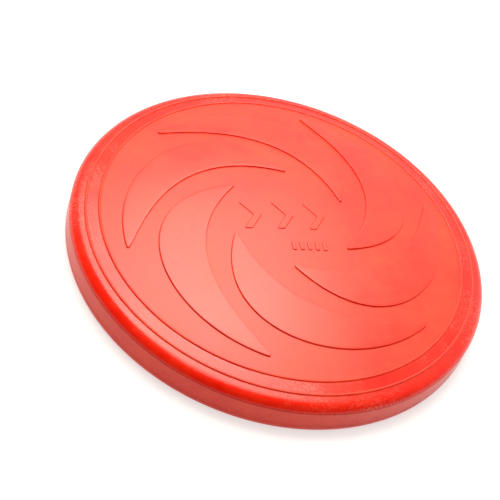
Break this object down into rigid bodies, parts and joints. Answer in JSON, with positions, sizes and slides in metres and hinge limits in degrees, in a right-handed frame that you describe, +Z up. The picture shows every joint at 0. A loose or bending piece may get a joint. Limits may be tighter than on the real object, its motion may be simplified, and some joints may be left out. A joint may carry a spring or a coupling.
{
  "type": "flying disc",
  "caption": "Soft rubber flying disc with a domed plate, a deep rounded rim, two fine bead lines, a swirl of raised crescent vanes and a plain raised emblem.",
  "frame": {"origin": "centre of the disc, on the plane that the foot of its rim rests on", "axes": "+Z up through the crown; +X and +Y lie in the foot's plane, with the emblem's rows running roughly along +X"},
  "size_m": [0.22, 0.22, 0.0286],
  "materials": {
    "matt_rubber": "soft satin, as moulded, with light scuffs on the shoulder",
    "glossy_rubber": "semi-gloss, with faint lines round the skirt",
    "polished_rubber": "smoother satin, from a polished area of the mould"
  },
  "bodies": {
    "root": {"flight_plate": "matt_rubber", "shoulder": "matt_rubber", "skirt": "glossy_rubber", "inner_bead": "matt_rubber", "outer_bead": "matt_rubber", "vane_1": "polished_rubber", "vane_2": "polished_rubber", "vane_3": "polished_rubber", "vane_4": "polished_rubber", "vane_5": "polished_rubber", "vane_6": "polished_rubber", "emblem_chevrons": "matt_rubber", "emblem_dashes": "matt_rubber"}
  },
  "joints": []
}
